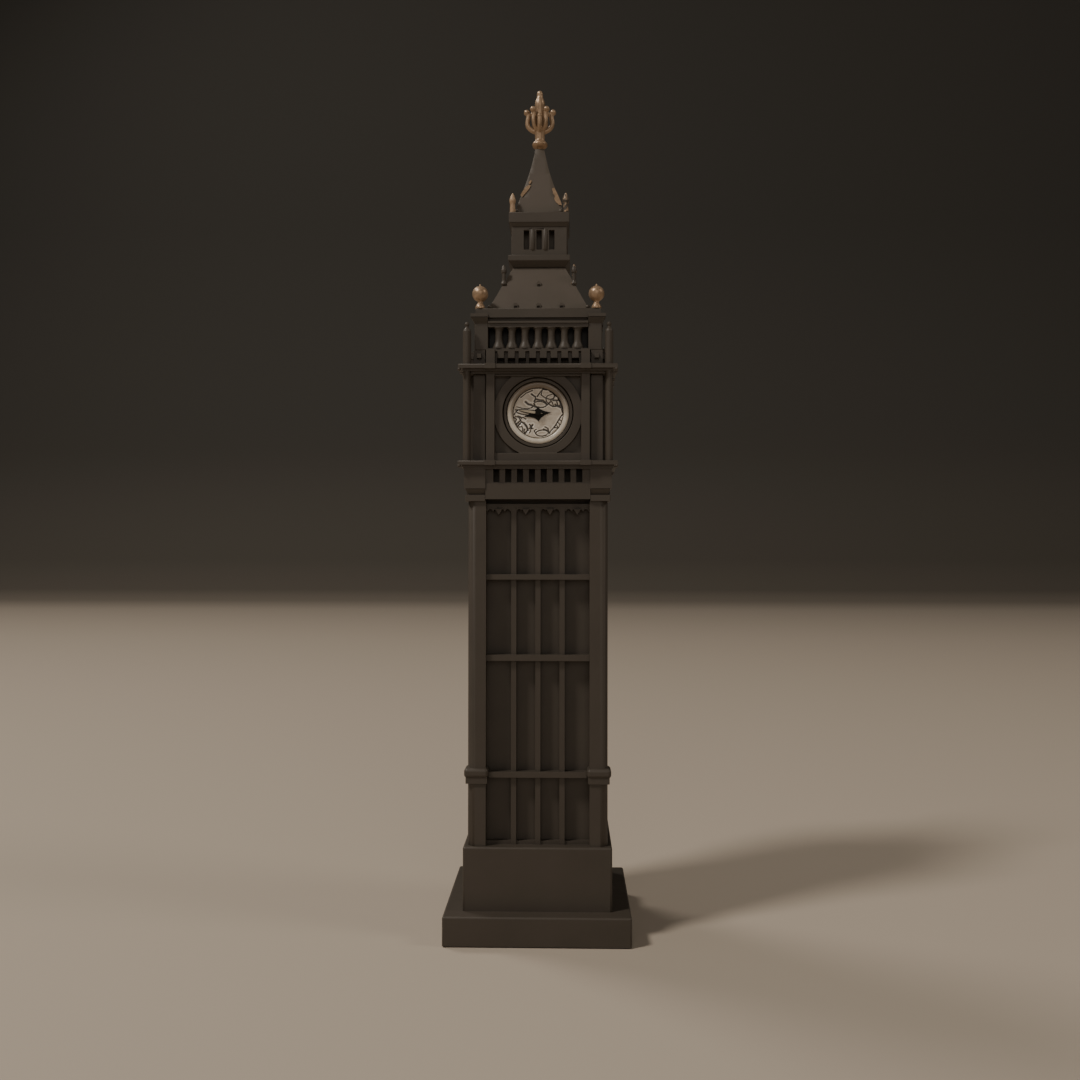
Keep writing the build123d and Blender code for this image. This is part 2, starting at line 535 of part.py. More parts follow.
keep(lower_roof, "lower_roof")

with BuildPart() as roof_pinnacles:
    for sx, sy in CORNERS.values():
        turned(sx * PINNACLE_OFFSET, sy * PINNACLE_OFFSET, [
            (0, 225.6), (0.8, 225.9), (1.12, 226.5), (0.8, 227.3), (0.7, 227.6), (0.7, 230.2),
            (0.95, 230.5), (0.95, 231.4), (0.65, 232.5), (0, 233.6)])
    square_flare(ROOF_FOOT_HALF, ROOF_HEAD_HALF, CORNICE_TOP, ROOF_TOP, mode=Mode.SUBTRACT)
keep(roof_pinnacles, "roof_pinnacles")

# ---- lantern and spire --------------------------------------------------------------------------
LANTERN_HALF, LANTERN_BORE_HALF, LANTERN_LEDGE_HALF = 9.8, 8.2, 10.95
LANTERN_CORNICE_HALF = 10.75
LANTERN_SLOT_PITCH, LANTERN_SLOT_WIDTH = 4.5, 1.9
LANTERN_SLOT_BOTTOM, LANTERN_SLOT_TOP = 239.4, 246.3
LANTERN_ROLL_OFFSET = 9.2
LANTERN_ROLL = [
    (0, 238.6), (0.5, 238.6), (1.05, 239.6), (1.05, 246.2), (0.5, 247.1), (0, 247.1),
]
SPIGOT_HALF = 5.8
LANTERN_PINNACLE_OFFSET = 9.45
SPIRE_SIDE = [
    (8.45, LANTERN_TOP), (7.45, 256.8), (5.15, 263.8), (3.4, 269.75), (2.45, 273.8), (1.55, SPIRE_TOP),
]

with BuildPart() as lantern_base:
    square_block(ROOF_HEAD_HALF - 0.2, ROOF_TOP, 233.2)
    square_flare(ROOF_HEAD_HALF, LANTERN_LEDGE_HALF, 233.2, 235.3)
    square_block(LANTERN_LEDGE_HALF, 235.3, LANTERN_FLOOR)
    fillet(lantern_base.edges().group_by(Axis.Z)[-1], 0.25)
    round_hole(0, 0, ROD_HOLE_RADIUS, ROOF_TOP, LANTERN_FLOOR)
keep(lantern_base, "lantern_base")

with BuildPart() as lantern_body:
    square_block(LANTERN_HALF, LANTERN_FLOOR, LANTERN_CEILING)
    square_block(LANTERN_BORE_HALF, LANTERN_FLOOR, LANTERN_CEILING, mode=Mode.SUBTRACT)
    slot_middle, slot_height = span(LANTERN_SLOT_BOTTOM, LANTERN_SLOT_TOP)
    for turn in FACES.values():
        with BuildSketch(face_plane(turn, LANTERN_BORE_HALF)):
            with Locations((0, slot_middle)):
                with GridLocations(LANTERN_SLOT_PITCH, 1, 3, 1):
                    Rectangle(LANTERN_SLOT_WIDTH, slot_height)
        extrude(amount=LANTERN_HALF - LANTERN_BORE_HALF, mode=Mode.SUBTRACT)
        for x in (-LANTERN_SLOT_PITCH / 2, LANTERN_SLOT_PITCH / 2):
            spot = Vector(x, -LANTERN_ROLL_OFFSET, 0).rotate(Axis.Z, turn)
            turned(spot.X, spot.Y, LANTERN_ROLL)
keep(lantern_body, "lantern_body")

with BuildPart() as lantern_cornice:
    square_flare(LANTERN_HALF, LANTERN_CORNICE_HALF - 0.25, LANTERN_CEILING, 249.0)
    square_block(LANTERN_CORNICE_HALF, 249.0, LANTERN_TOP)
    fillet(lantern_cornice.edges().group_by(Axis.Z)[-1], 0.3)
    square_block(SPIGOT_HALF + 0.1, LANTERN_CEILING, LANTERN_TOP, mode=Mode.SUBTRACT)
keep(lantern_cornice, "lantern_cornice")

with BuildPart() as lantern_pinnacles:
    for sx, sy in CORNERS.values():
        turned(sx * LANTERN_PINNACLE_OFFSET, sy * LANTERN_PINNACLE_OFFSET, [
            (0, LANTERN_TOP), (0.98, LANTERN_TOP), (0.92, 255.6), (1.0, 256.2), (1.15, 256.7), (1.12, 257.3),
            (0.75, 258.5), (0.3, 259.5), (0, 259.75)])
keep(lantern_pinnacles, "lantern_pinnacles")


def spire_profile(plane, grow=0.0):
    """The side view of the spire, with its hollow-curved slopes, on a plane through the axis."""
    side = [(x + grow, z) for x, z in SPIRE_SIDE]
    with BuildSketch(plane) as side_view:
        with BuildLine():
            Spline(*side)
            Polyline(side[-1], (-side[-1][0], SPIRE_TOP))
            Spline(*[(-x, z) for x, z in reversed(side)])
            Polyline((-side[0][0], LANTERN_TOP), side[0])
        make_face()
    return side_view.sketch


LEAF_THICK = 0.3
SPIRE_LEAVES = [
    [(-3.95, 264.9), (-3.3, 265.8), (-2.8, 265.6), (-3.1, 264.6), (-3.7, 264.1)],
    [(-3.1, 263.7), (-3.7, 262.4), (-5.2, 260.3), (-6.2, 259.0), (-6.8, 259.9), (-5.7, 262.0), (-4.7, 263.4),
     (-3.9, 263.9)],
    [(4.5, 262.4), (5.3, 262.8), (6.4, 260.4), (7.8, 256.8), (8.1, 255.6), (7.0, 255.9), (5.9, 257.0),
     (5.3, 258.2), (5.6, 259.4), (5.0, 260.2)],
]

with BuildPart() as spire_blank:
    extrude(spire_profile(Plane.XZ), amount=SPIRE_SIDE[0][0] + 1, both=True)
    extrude(spire_profile(Plane.YZ), amount=SPIRE_SIDE[0][0] + 1, both=True, mode=Mode.INTERSECT)

FINIAL_STUD = 0.8
with BuildPart() as spire:
    add(spire_blank.part)
    square_block(SPIGOT_HALF, LANTERN_FLOOR, LANTERN_TOP)
    for sx, sy in CORNERS.values():
        with Locations((sx * 7.7, sy * 7.7, 253.6)):
            Sphere(0.85)
    round_hole(0, 0, TIE_ROD_RADIUS, LANTERN_FLOOR, ROD_TOP)
    round_hole(0, 0, FINIAL_STUD, SPIRE_TOP - 5, SPIRE_TOP)
keep(spire, "spire")

with BuildPart() as spire_skin:
    extrude(spire_profile(Plane.XZ, LEAF_THICK), amount=SPIRE_SIDE[0][0] + 1, both=True)
    extrude(spire_profile(Plane.YZ, LEAF_THICK), amount=SPIRE_SIDE[0][0] + 1, both=True, mode=Mode.INTERSECT)
    add(spire_blank.part, mode=Mode.SUBTRACT)

face_leaves = []
for turn in (FACES["front"], FACES["back"]):
    with BuildPart() as gilding:
        with BuildSketch(face_plane(turn, 1.0)):
            for leaf in SPIRE_LEAVES:
                Polygon(*leaf, align=None)
        extrude(amount=9.0)
        with BuildSketch(Plane.XY.offset(LANTERN_TOP)) as quadrant:
            with Locations(Location((0, 0, 0), (0, 0, turn))):
                Polygon((0, 0), (-12, -12), (12, -12), align=None)
        extrude(quadrant.sketch, amount=SPIRE_TOP - LANTERN_TOP, mode=Mode.INTERSECT)
        add(spire_skin.part, mode=Mode.INTERSECT)
    face_leaves.append(gilding.part)

with BuildPart() as spire_leaves:
    add(face_leaves)
keep(spire_leaves, "spire_leaves")

ARMS = [
    ((0, 180), 0.84, 1.12,
     [(1.2, 284.9), (3.2, 285.7), (4.45, 287.4), (4.3, 289.6), (4.2, 290.6), (4.75, 292.0)]),
    ((45, 135, 225, 315), 0.8, 1.1, [(1.0, 285.2), (2.6, 286.8), (3.1, 288.6), (3.0, 290.6), (3.5, 292.4)]),
    ((90, 270), 0.85, 1.0, [(1.0, 285.0), (2.6, 286.0), (3.1, 287.6), (3.0, 289.8)]),
]
STUD = [
    (0, SPIRE_TOP - 4.5), (FINIAL_STUD, SPIRE_TOP - 4.5), (FINIAL_STUD, SPIRE_TOP), (0, SPIRE_TOP),
]
SPINDLE = [
    (0, SPIRE_TOP), (1.5, SPIRE_TOP), (1.75, 278.7), (2.5, 279.3), (2.8, 280.1), (2.6, 280.8), (2.1, 281.3),
    (1.8, 281.7), (1.75, 282.4), (1.8, 283.6), (1.85, 285.2), (1.75, 287.0), (1.75, 290.0),
    (1.75, 292.5), (1.85, 294.4), (1.8, 295.6), (1.35, 297.0), (1.1, 298.0), (1.1, 298.9),
    (0.85, 299.6), (0, TOWER_HEIGHT),
]

with BuildPart() as finial:
    turned(0, 0, STUD)
    turned(0, 0, SPINDLE, smooth=True)
    for angles, thick, tip, path in ARMS:
        for angle in angles:
            side = Plane.XZ.rotated((0, 0, angle))
            with BuildLine(side) as arm:
                Spline(*path)
            with BuildSketch(Plane(origin=arm.line @ 0, z_dir=arm.line % 0)):
                Circle(thick)
            sweep()
            with Locations(arm.line @ 1):
                Sphere(tip)
keep(finial, "finial")

# ---- fixed dials on the other three faces -------------------------------------------------------
BLANK_FACE, BLANK_RIM_FACE = 21.1, 22.0
with BuildPart() as fixed_dials:
    for turn in (90, 180, 270):
        with BuildSketch(face_plane(turn, CASE_FACE)):
            with Locations((0, CLOCK_Z)):
                Circle(BEZEL_RADIUS)
        extrude(amount=BLANK_FACE - CASE_FACE)
        with BuildSketch(face_plane(turn, CASE_FACE)):
            with Locations((0, CLOCK_Z)):
                Circle(BEZEL_RADIUS)
                Circle(DIAL_RADIUS, mode=Mode.SUBTRACT)
        extrude(amount=BLANK_RIM_FACE - CASE_FACE)
keep(fixed_dials, "fixed_dials")

# ---- clock insert -------------------------------------------------------------------------------
BEZEL_FACE = 22.0
BARREL_RADIUS, BARREL_WALL, BARREL_BACK = 9.3, 0.35, 15.2
GASKET_RADIUS = 9.45
DIAL_BACK, DIAL_FACE = CASE_FACE, 21.1
MOVEMENT_RADIUS, MOVEMENT_BACK = 8.9, 14.2
CENTRE_HOLE = 0.95


def disc(radius, back, front, x=0.0, mode=Mode.ADD):
    """A round disc square to the clock's axis, between two distances in front of the tower's axis."""
    with BuildSketch(face_plane(0, back)) as plan:
        with Locations((x, CLOCK_Z)):
            Circle(radius)
    extrude(plan.sketch, amount=front - back, mode=mode)


with BuildPart() as bezel:
    disc(BEZEL_RADIUS, CASE_FACE, BEZEL_FACE)
    disc(BARREL_RADIUS, BARREL_BACK, CASE_FACE)
    disc(BARREL_RADIUS - BARREL_WALL, BARREL_BACK, CASE_FACE, mode=Mode.SUBTRACT)
    disc(DIAL_RADIUS, CASE_FACE, BEZEL_FACE, mode=Mode.SUBTRACT)
    fillet(bezel.edges().filter_by(GeomType.CIRCLE).group_by(Axis.Y)[0], 0.5)
keep(bezel, "bezel")

with BuildPart() as gasket:
    disc(GASKET_RADIUS, 17.2, 18.6)
    disc(BARREL_RADIUS, 17.2, 18.6, mode=Mode.SUBTRACT)
keep(gasket, "gasket")

with BuildPart() as dial:
    disc(DIAL_RADIUS - 0.05, DIAL_BACK, DIAL_FACE)
    disc(CENTRE_HOLE, DIAL_BACK, DIAL_FACE, mode=Mode.SUBTRACT)
keep(dial, "dial")

SETTING_X = 3.6
CELL_X, CELL_RADIUS = -4.2, 3.4
ARBOR_RADIUS, ARBOR_HOLE = 0.45, 0.5
with BuildPart() as movement_case:
    disc(MOVEMENT_RADIUS, 15.2, DIAL_BACK)
    disc(MOVEMENT_RADIUS - 1.0, 15.2, DIAL_BACK - 0.45, mode=Mode.SUBTRACT)
    disc(CENTRE_HOLE, 15.2, DIAL_BACK, mode=Mode.SUBTRACT)
keep(movement_case, "movement_case")

with BuildPart() as movement_back:
    disc(MOVEMENT_RADIUS, MOVEMENT_BACK, 15.2)
    disc(CELL_RADIUS + 0.4, 15.2, 17.2, x=CELL_X + 0.2)
    disc(1.2, 15.2, 17.2)
    disc(1.2, 15.2, 17.2, x=SETTING_X)
    disc(CELL_RADIUS + 0.05, MOVEMENT_BACK, 16.6, x=CELL_X, mode=Mode.SUBTRACT)
    disc(ARBOR_HOLE, MOVEMENT_BACK, 17.2, x=SETTING_X, mode=Mode.SUBTRACT)
    disc(ARBOR_HOLE, MOVEMENT_BACK, 17.2, mode=Mode.SUBTRACT)
keep(movement_back, "movement_back")

with BuildPart() as battery_cell:
    disc(CELL_RADIUS, 14.4, 16.55, x=CELL_X)
    fillet(battery_cell.edges().filter_by(GeomType.CIRCLE), 0.2)
keep(battery_cell, "battery_cell")

# ---- motion work: the minute arbor drives the setting wheel, and its pinion drives the hour wheel ---
MINUTE_MODULE = 2 * SETTING_X / (12 + 36)
HOUR_MODULE = 2 * SETTING_X / (10 + 40)


def toothed(teeth, module, back, front, x=0.0, half_pitch=False):
    """A toothed wheel square to the clock's axis. It points a tooth, or a gap if half_pitch, at +x."""
    pitch = 2 * math.pi / teeth
    root, tip = module * (teeth / 2 - 1.2), module * (teeth / 2 + 0.85)
    outline = []
    for i in range(teeth):
        middle = (i + (0.5 if half_pitch else 0)) * pitch
        for radius, share in ((root, -0.30), (tip, -0.12), (tip, 0.12), (root, 0.30)):
            angle = middle + share * pitch
            outline.append((x + radius * math.cos(angle), CLOCK_Z + radius * math.sin(angle)))
    with BuildSketch(face_plane(0, back)) as wheel:
        with BuildLine():
            Polyline(*outline, close=True)
        make_face()
    extrude(wheel.sketch, amount=front - back)


PIPE_RADIUS = 0.85
with BuildPart() as cannon_pinion:
    disc(ARBOR_RADIUS, 14.4, 21.95)
    toothed(12, MINUTE_MODULE, 18.0, 18.7)
keep(cannon_pinion, "cannon_pinion")

with BuildPart() as hour_wheel:
    toothed(40, HOUR_MODULE, 19.2, 19.7)
    disc(PIPE_RADIUS, 19.2, 21.4)
    disc(ARBOR_HOLE, 19.2, 21.4, mode=Mode.SUBTRACT)
keep(hour_wheel, "hour_wheel")

with BuildPart() as setting_wheel:
    disc(ARBOR_RADIUS, 12.6, 19.75, x=SETTING_X)
    toothed(36, MINUTE_MODULE, 18.05, 18.65, x=SETTING_X, half_pitch=True)
    toothed(10, HOUR_MODULE, 19.15, 19.75, x=SETTING_X, half_pitch=True)
keep(setting_wheel, "setting_wheel")

with BuildPart() as setting_knob:
    disc(2.2, 12.2, 13.9, x=SETTING_X)
    with BuildSketch(face_plane(0, 12.2)):
        with Locations((SETTING_X, CLOCK_Z)):
            with PolarLocations(2.2, 18):
                Circle(0.16)
    extrude(amount=1.7, mode=Mode.SUBTRACT)
    disc(ARBOR_RADIUS, 12.2, 13.9, x=SETTING_X, mode=Mode.SUBTRACT)
keep(setting_knob, "setting_knob")

# ---- hands, set at about a quarter to three -----------------------------------------------------
HOUR_ANGLE, MINUTE_ANGLE = 88.0, 278.5
HOUR_STAR = [(0, 4.5), (1.1, 1.3), (3.0, 0.1), (1.2, -1.3), (1.2, -5.1), (-0.6, -1.6), (-2.1, 0), (-0.9, 1.3)]
MINUTE_LEAF = [(0, -2.0), (0.55, -0.6), (0.8, 3.6), (0, 8.0), (-0.8, 3.6), (-0.55, -0.6)]


def hand(angle, outline, back, front, hole):
    """A flat hand at a clock angle in degrees, clockwise from twelve, with a round hub."""
    with BuildSketch(face_plane(0, back)) as shape:
        with Locations(Location((0, CLOCK_Z, 0), (0, 0, -angle))):
            Polygon(*outline, align=None)
            Circle(1.3)
            Circle(hole, mode=Mode.SUBTRACT)
    extrude(shape.sketch, amount=front - back)


with BuildPart() as hour_hand:
    hand(HOUR_ANGLE, HOUR_STAR, 21.2, 21.4, PIPE_RADIUS)
keep(hour_hand, "hour_hand")

with BuildPart() as minute_hand:
    hand(MINUTE_ANGLE, MINUTE_LEAF, 21.55, 21.75, ARBOR_RADIUS)
keep(minute_hand, "minute_hand")

with BuildPart() as hand_cap:
    disc(0.95, 21.75, 22.15)
    disc(ARBOR_RADIUS, 21.75, 21.95, mode=Mode.SUBTRACT)
keep(hand_cap, "hand_cap")
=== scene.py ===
"""Looks for the miniature clock tower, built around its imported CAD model."""
import json
import math

import bmesh
import bpy
import numpy as np
from mathutils import Matrix, Vector, noise as mnoise


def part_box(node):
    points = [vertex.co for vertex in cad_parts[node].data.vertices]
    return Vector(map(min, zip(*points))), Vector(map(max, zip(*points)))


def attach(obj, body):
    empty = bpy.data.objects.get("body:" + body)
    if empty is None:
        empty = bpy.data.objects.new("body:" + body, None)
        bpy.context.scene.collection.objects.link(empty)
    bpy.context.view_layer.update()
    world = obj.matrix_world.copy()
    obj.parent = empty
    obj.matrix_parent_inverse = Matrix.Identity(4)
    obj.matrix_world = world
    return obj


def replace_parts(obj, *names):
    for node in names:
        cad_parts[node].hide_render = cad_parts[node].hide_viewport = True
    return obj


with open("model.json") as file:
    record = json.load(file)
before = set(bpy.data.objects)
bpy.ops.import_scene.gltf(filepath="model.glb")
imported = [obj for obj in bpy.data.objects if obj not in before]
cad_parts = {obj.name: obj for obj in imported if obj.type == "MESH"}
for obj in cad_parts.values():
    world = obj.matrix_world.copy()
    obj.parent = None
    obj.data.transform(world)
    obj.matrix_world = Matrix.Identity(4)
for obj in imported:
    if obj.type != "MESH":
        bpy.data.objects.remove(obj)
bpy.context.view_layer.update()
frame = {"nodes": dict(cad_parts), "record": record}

SCENE = bpy.context.scene
MM = 0.001
TAU = 2 * math.pi
TOWER = Vector((0, 0, 0.13))


# ---- camera, floor and light --------------------------------------------------------------------
def make_camera():
    data = bpy.data.cameras.new("camera")
    data.sensor_width = 36.0
    data.lens = 38.155
    data.clip_start = 0.02
    cam = bpy.data.objects.new("camera", data)
    turn, tilt, roll = 0.0241, 0.0150, 0.001
    cam.matrix_world = (Matrix.Translation((0.01017, -0.4144, 0.1302)) @ Matrix.Rotation(turn, 4, "Z")
                        @ Matrix.Rotation(math.pi / 2 + tilt, 4, "X") @ Matrix.Rotation(roll, 4, "Z"))
    SCENE.collection.objects.link(cam)
    SCENE.camera = cam


def area_light(name, direction, distance, size, watts, color):
    data = bpy.data.lights.new(name, "AREA")
    data.shape = "DISK"
    data.size = size
    data.energy = watts
    data.color = color
    lamp = bpy.data.objects.new(name, data)
    lamp.location = TOWER + Vector(direction).normalized() * distance
    lamp.rotation_euler = (-Vector(direction)).to_track_quat("-Z", "Y").to_euler()
    lamp.visible_camera = False
    SCENE.collection.objects.link(lamp)


def new_material(name):
    mat = bpy.data.materials.new(name)
    mat.use_nodes = True
    return mat, mat.node_tree.nodes, mat.node_tree.links, mat.node_tree.nodes["Principled BSDF"]


def noise(nodes, links, coords, scale, detail=4.0, rough=0.6):
    tex = nodes.new("ShaderNodeTexNoise")
    tex.inputs["Scale"].default_value = scale
    tex.inputs["Detail"].default_value = detail
    tex.inputs["Roughness"].default_value = rough
    links.new(coords.outputs["Object"], tex.inputs["Vector"])
    return tex


def ramp(nodes, links, source, stops):
    node = nodes.new("ShaderNodeValToRGB")
    node.color_ramp.elements[0].position, node.color_ramp.elements[0].color = stops[0][0], (*stops[0][1], 1)
    node.color_ramp.elements[1].position, node.color_ramp.elements[1].color = stops[-1][0], (*stops[-1][1], 1)
    for at, color in stops[1:-1]:
        node.color_ramp.elements.new(at).color = (*color, 1)
    links.new(source, node.inputs["Fac"])
    return node


def mix_color(nodes, links, mask, a, b):
    """a where the mask is 0 and b where it is 1; a and b are sockets or colours."""
    node = nodes.new("ShaderNodeMix")
    node.data_type = "RGBA"
    links.new(mask, node.inputs["Factor"])
    for socket, value in ((node.inputs[6], a), (node.inputs[7], b)):
        if isinstance(value, tuple):
            socket.default_value = (*value, 1)
        else:
            links.new(value, socket)
    return node.outputs[2]


def math_node(nodes, links, operation, *values):
    node = nodes.new("ShaderNodeMath")
    node.operation = operation
    for socket, value in zip(node.inputs, values):
        if isinstance(value, (int, float)):
            socket.default_value = value
        else:
            links.new(value, socket)
    return node.outputs[0]


FLOOR_END, SWEEP, WALL_TOP = 3.0, 0.5, 4.0


def make_floor():
    """A pale floor that sweeps up, far behind the tower, into a darker wall. The far floor fades into the
    wall's colour, and the wall is lighter at its foot than at its top: both are painted shade.
    """
    bm = bmesh.new()
    profile = [(-4.0, 0.0), (FLOOR_END, 0.0)]
    for i in range(1, 17):
        a = i / 16 * math.pi / 2
        profile.append((FLOOR_END + SWEEP * math.sin(a), SWEEP * (1 - math.cos(a))))
    profile.append((FLOOR_END + SWEEP, WALL_TOP))
    rows = [[bm.verts.new((x, y, z)) for x in (-6, 6)] for y, z in profile]
    for a, b in zip(rows, rows[1:]):
        bm.faces.new((a[0], a[1], b[1], b[0]))
    mesh = bpy.data.meshes.new("floor")
    bm.to_mesh(mesh)
    mesh.shade_smooth()
    floor = bpy.data.objects.new("floor", mesh)
    SCENE.collection.objects.link(floor)
    mat, nodes, links, bsdf = new_material("floor_card")
    coords = nodes.new("ShaderNodeTexCoord")
    split = nodes.new("ShaderNodeSeparateXYZ")
    links.new(coords.outputs["Object"], split.inputs[0])
    # painted shade: the far floor darkens into the wall along the sweep
    along = math_node(nodes, links, "MULTIPLY_ADD", split.outputs["Z"], 12.0, split.outputs["Y"])
    share = math_node(nodes, links, "DIVIDE", math_node(nodes, links, "SUBTRACT", along, 1.4), 3.4)
    height = math_node(nodes, links, "DIVIDE", split.outputs["Z"], 1.7)
    # painted shade on the wall: lightest at its foot, darkest at its top
    wall = ramp(nodes, links, height, [(0.0, WALL_LOW), (0.35, WALL_MID), (0.75, WALL_HIGH)])
    mask = ramp(nodes, links, share, [(0.0, (0, 0, 0)), (0.3, (0.10, 0.10, 0.10)), (0.62, (0.9, 0.9, 0.9)),
                                      (1.0, (1, 1, 1))])
    links.new(mix_color(nodes, links, mask.outputs["Color"], FLOOR_COLOR, wall.outputs["Color"]),
              bsdf.inputs["Base Color"])
    bsdf.inputs["Roughness"].default_value = 0.75
    bsdf.inputs["Specular IOR Level"].default_value = 0.25
    mesh.materials.append(mat)


FLOOR_COLOR = (0.4929, 0.424, 0.3498)
# the wall's colours, lighter low and darker high, are painted shade
WALL_LOW, WALL_MID, WALL_HIGH = (0.126, 0.112, 0.093), (0.090, 0.085, 0.077), (0.069, 0.066, 0.060)


def make_lights():
    area_light("key", (-0.54, -0.36, 0.76), 2.4, 0.42, 31.0, (1.0, 0.935, 0.85))
    area_light("back_light", (-0.52, 0.40, 0.76), 4.0, 1.2, 40.0, (1.0, 0.93, 0.84))
    area_light("front_softbox", (0.06, -0.92, 0.36), 3.0, 2.0, 11.0, (1.0, 0.93, 0.84))
    area_light("fill", (0.78, -0.20, 0.60), 4.0, 1.2, 20.0, (1.0, 0.90, 0.78))
    world = bpy.data.worlds.new("world")
    world.use_nodes = True
    world.node_tree.nodes["Background"].inputs[0].default_value = (0.066, 0.062, 0.056, 1)
    world.node_tree.nodes["Background"].inputs[1].default_value = 1.0
    SCENE.world = world


make_camera()
make_floor()
make_lights()


# ---- materials ----------------------------------------------------------------------------------
def edge_mask(nodes, links, width, low, high):
    """1 on sharp edges and 0 on flat faces, from how far a rounded normal leans from the true one."""
    bevel = nodes.new("ShaderNodeBevel")
    bevel.samples = 4
    bevel.inputs["Radius"].default_value = width
    geometry = nodes.new("ShaderNodeNewGeometry")
    dot = nodes.new("ShaderNodeVectorMath")
    dot.operation = "DOT_PRODUCT"
    links.new(bevel.outputs["Normal"], dot.inputs[0])
    links.new(geometry.outputs["Normal"], dot.inputs[1])
    lean = math_node(nodes, links, "SUBTRACT", 1.0, dot.outputs["Value"])
    return ramp(nodes, links, lean, [(low, (0, 0, 0)), (high, (1, 1, 1))]).outputs["Color"]


def painted(name, dark, mid, light, rough=(0.50, 0.60), grain=0.00002, metallic=0.0, cloud_scale=60,
            edge_wear_and_highlight=None, edge_mix_share=0.5, specular=0.5):
    """Satin paint over a casting: gently clouded colour, uneven gloss, a fine cast grain and lighter rubbed
    edges, which are partly edge wear and partly a painted highlight.
    """
    mat, nodes, links, bsdf = new_material(name)
    coords = nodes.new("ShaderNodeTexCoord")
    cloud = noise(nodes, links, coords, cloud_scale, 5)
    tones = [(0.28, dark), (0.5, mid), (0.74, light)]
    base = ramp(nodes, links, cloud.outputs["Fac"], tones).outputs["Color"]
    # lighter edges: partly edge wear, partly a painted highlight
    if edge_wear_and_highlight:
        rubbed = ramp(nodes, links, noise(nodes, links, coords, 420, 4).outputs["Fac"],
                      [(0.38, (0, 0, 0)), (0.62, (edge_mix_share,) * 3)])
        both = nodes.new("ShaderNodeMix")
        both.data_type = "RGBA"
        both.blend_type = "MULTIPLY"
        both.inputs["Factor"].default_value = 1.0
        links.new(edge_mask(nodes, links, 0.00035, 0.02, 0.12), both.inputs[6])
        links.new(rubbed.outputs["Color"], both.inputs[7])
        base = mix_color(nodes, links, both.outputs[2], base, edge_wear_and_highlight)
    links.new(base, bsdf.inputs["Base Color"])
    gloss = nodes.new("ShaderNodeMapRange")
    gloss.inputs["From Min"].default_value, gloss.inputs["From Max"].default_value = 0.3, 0.7
    gloss.inputs["To Min"].default_value, gloss.inputs["To Max"].default_value = rough
    links.new(noise(nodes, links, coords, 210, 4).outputs["Fac"], gloss.inputs["Value"])
    links.new(gloss.outputs["Result"], bsdf.inputs["Roughness"])
    bump = nodes.new("ShaderNodeBump")
    bump.inputs["Strength"].default_value = 0.5
    bump.inputs["Distance"].default_value = grain
    links.new(noise(nodes, links, coords, 1500, 3).outputs["Fac"], bump.inputs["Height"])
    links.new(bump.outputs["Normal"], bsdf.inputs["Normal"])
    bsdf.inputs["Metallic"].default_value = metallic
    bsdf.inputs["Specular IOR Level"].default_value = specular
    return mat


BRONZE_TONES = ((0.060, 0.049, 0.038), (0.065, 0.053, 0.041), (0.070, 0.057, 0.045))
# lighter edge colour: edge wear and painted highlight
BRONZE_EDGE_WEAR_AND_HIGHLIGHT = (0.104, 0.085, 0.066)
GOLD_TONES = ((0.29, 0.192, 0.115), (0.37, 0.253, 0.160), (0.44, 0.312, 0.205))
BRONZE = painted("bronze_paint_satin", *BRONZE_TONES, edge_wear_and_highlight=BRONZE_EDGE_WEAR_AND_HIGHLIGHT, specular=0.42, rough=(0.49, 0.57))
# painted light: a lighter copy of the bronze for the up-facing roof and spire slopes; its edges get the same
# lighter rubbing as the other bronze
ROOF_BRONZE = painted("bronze_paint_roof_painted_light", *(tuple(1.38 * v for v in tone) for tone in BRONZE_TONES),
                      edge_wear_and_highlight=BRONZE_EDGE_WEAR_AND_HIGHLIGHT, specular=0.42, rough=(0.49, 0.57))
# painted shade: near-black core behind the belfry openings, so they read as deep shade
CORE_PAINTED_SHADE = painted("belfry_core_painted_shade", (0.004, 0.0032, 0.0025), (0.005, 0.004, 0.003), (0.006, 0.005, 0.004))


def gilded(name, under, scale, low, high, corner=None, band=None):
    """Gold paint, rubbed through to the paint under it in spots. corner is "rubbed" if only the front right
    corner is rubbed, and "traces" if gold is left only there. band is a (bottom, top) height in metres over
    which the gold turns from brown to its own colour."""
    shine = {"rough": (0.45, 0.56), "metallic": 0.1} if corner else {"rough": (0.31, 0.46), "metallic": 0.4}
    mat = painted(name, *GOLD_TONES, grain=0.00005, cloud_scale=420, **shine)
    nodes, links, bsdf = mat.node_tree.nodes, mat.node_tree.links, mat.node_tree.nodes["Principled BSDF"]
    coords = nodes.new("ShaderNodeTexCoord")
    split = nodes.new("ShaderNodeSeparateXYZ")
    links.new(coords.outputs["Object"], split.inputs[0])
    gold = bsdf.inputs["Base Color"].links[0].from_socket
    if band:
        above = math_node(nodes, links, "SUBTRACT", split.outputs["Z"], band[0])
        rise = math_node(nodes, links, "DIVIDE", above, band[1] - band[0])
        shade = ramp(nodes, links, rise, [(0.0, (1, 1, 1)), (1.0, (0, 0, 0))])
        gold = mix_color(nodes, links, shade.outputs["Color"], gold, (0.27, 0.165, 0.09))
    spots = noise(nodes, links, coords, scale, 3)
    mask = ramp(nodes, links, spots.outputs["Fac"], [(low, (1, 1, 1)), (high, (0, 0, 0))]).outputs["Color"]
    if corner:
        right = math_node(nodes, links, "GREATER_THAN", split.outputs["X"], 0.0)
        front = math_node(nodes, links, "LESS_THAN", split.outputs["Y"], 0.0)
        here = math_node(nodes, links, "MULTIPLY", right, front)
        if corner == "rubbed":
            mask = math_node(nodes, links, "MULTIPLY", here, mask)
        else:
            gilt = math_node(nodes, links, "MULTIPLY", here, math_node(nodes, links, "SUBTRACT", 1.0, mask))
            mask = math_node(nodes, links, "SUBTRACT", 1.0, gilt)
    links.new(mix_color(nodes, links, mask, gold, under), bsdf.inputs["Base Color"])
    return mat


